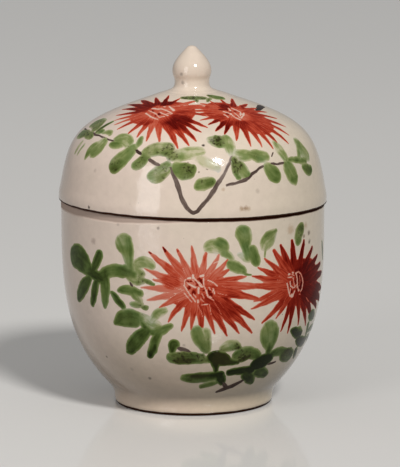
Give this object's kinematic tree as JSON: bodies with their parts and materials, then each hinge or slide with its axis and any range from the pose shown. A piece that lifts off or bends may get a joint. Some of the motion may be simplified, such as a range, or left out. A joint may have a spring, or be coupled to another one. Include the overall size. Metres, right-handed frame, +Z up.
{
  "type": "covered porcelain jar",
  "caption": "Small round-bellied porcelain jar on a foot ring, with a domed lift-off lid and a bud-shaped knob, painted with red chrysanthemums and green leaves.",
  "frame": {"origin": "the middle of the foot ring's resting face, on the jar's axis", "axes": "+Z up along the axis of the jar and lid, -Y towards the side with the painted flowers"},
  "size_m": [0.095, 0.095, 0.1272],
  "materials": {
    "jar_glaze": "clear gloss glaze on white porcelain, with a bare brown foot rim and mouth",
    "lid_glaze": "clear gloss glaze on white porcelain, with a bare brown rim",
    "knob_glaze": "clear gloss glaze on white porcelain",
    "red_enamel": "iron-red enamel, brushed on over the glaze and fired",
    "green_enamel": "copper-green enamel, glassy and a little raised",
    "brown_enamel": "brown-black enamel lines for the stems"
  },
  "bodies": {
    "jar": {"jar_body": "jar_glaze"},
    "lid": {"lid_dome": "lid_glaze", "lid_knob": "knob_glaze"}
  },
  "joints": [
    {"name": "lid_lift", "type": "slide", "parent": "jar", "child": "lid", "axis": [0, 0, 1], "range_m": [0, 0.06]}
  ]
}
